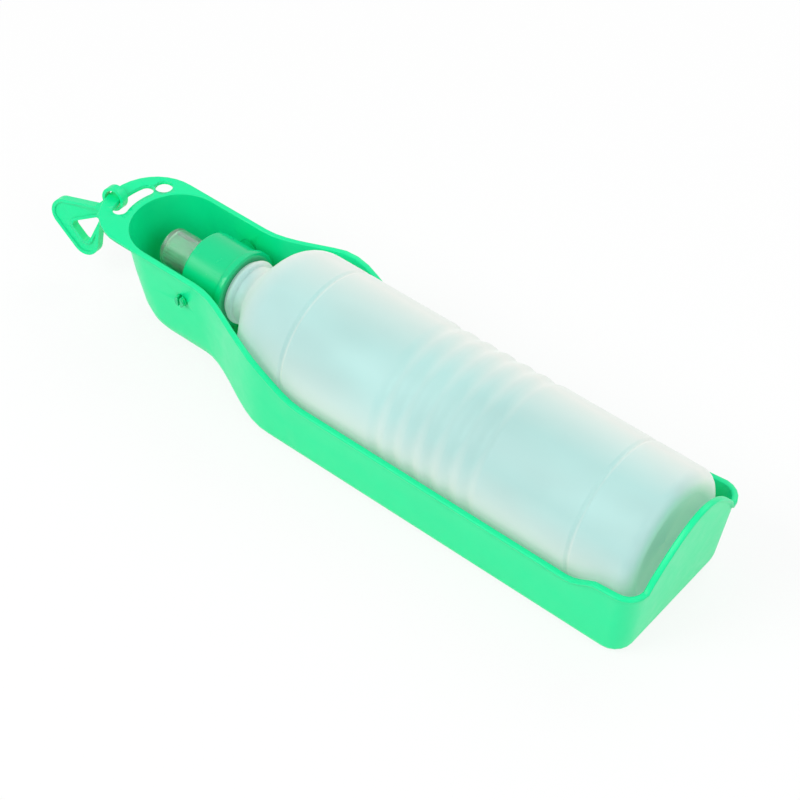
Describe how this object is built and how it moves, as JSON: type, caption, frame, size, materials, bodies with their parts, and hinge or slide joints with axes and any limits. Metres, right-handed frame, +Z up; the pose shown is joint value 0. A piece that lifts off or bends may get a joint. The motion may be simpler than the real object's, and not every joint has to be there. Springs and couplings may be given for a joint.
{
  "type": "dog travel water bottle",
  "caption": "Squeeze water bottle on two pivot pins in a long open drinking tray, with a push-pull nozzle over the bowl end and a loop hanger on its slotted flange.",
  "frame": {"origin": "on the plane that the tray rests on, straight below the axis of the cap's pivot pins", "axes": "+X from the pivot along the tray to its closed end, +Y to the left seen from the bowl end looking along +X, +Z up out of the open tray"},
  "size_m": [0.3271, 0.073, 0.0646],
  "materials": {
    "tray_green": "satin moulded polypropylene, spring green",
    "bottle_frosted": "frosted translucent blown polyethylene",
    "cap_green": "glossy moulded polypropylene, spring green",
    "seal_white": "soft white sealing disc",
    "nozzle_clear": "clear moulded plastic",
    "hanger_green": "satin moulded polypropylene, spring green"
  },
  "bodies": {
    "tray": {"tray": "tray_green"},
    "cap": {"cap": "cap_green"},
    "seal": {"cap_seal": "seal_white"},
    "bottle": {"bottle": "bottle_frosted"},
    "nozzle": {"nozzle": "nozzle_clear"},
    "hanger": {"hanger": "hanger_green"}
  },
  "joints": [
    {"name": "bottle_swing", "type": "hinge", "parent": "tray", "child": "cap", "pos_m": [0, 0, 0.0335], "axis": [0, -1, 0], "range_deg": [0, 120]},
    {"name": "bottle_unscrew", "type": "hinge", "parent": "cap", "child": "seal", "pos_m": [0, 0, 0.0335], "axis": [1, 0, 0], "range_deg": [0, 150]},
    {"name": "bottle_back_off", "type": "slide", "parent": "seal", "child": "bottle", "axis": [1, 0, 0], "range_m": [0, 0.00126]},
    {"name": "nozzle_pull", "type": "slide", "parent": "cap", "child": "nozzle", "axis": [-1, 0, 0], "range_m": [0, 0.004]},
    {"name": "hanger_swing", "type": "hinge", "parent": "tray", "child": "hanger", "pos_m": [-0.05496, -0.00334, 0.04614], "axis": [-0.1705, 0.9667, -0.1908], "range_deg": [-45, 90]}
  ],
  "couplings": [
    {"joint": "bottle_back_off", "follows": "bottle_unscrew", "m_per_rad": 0.00047746}
  ]
}
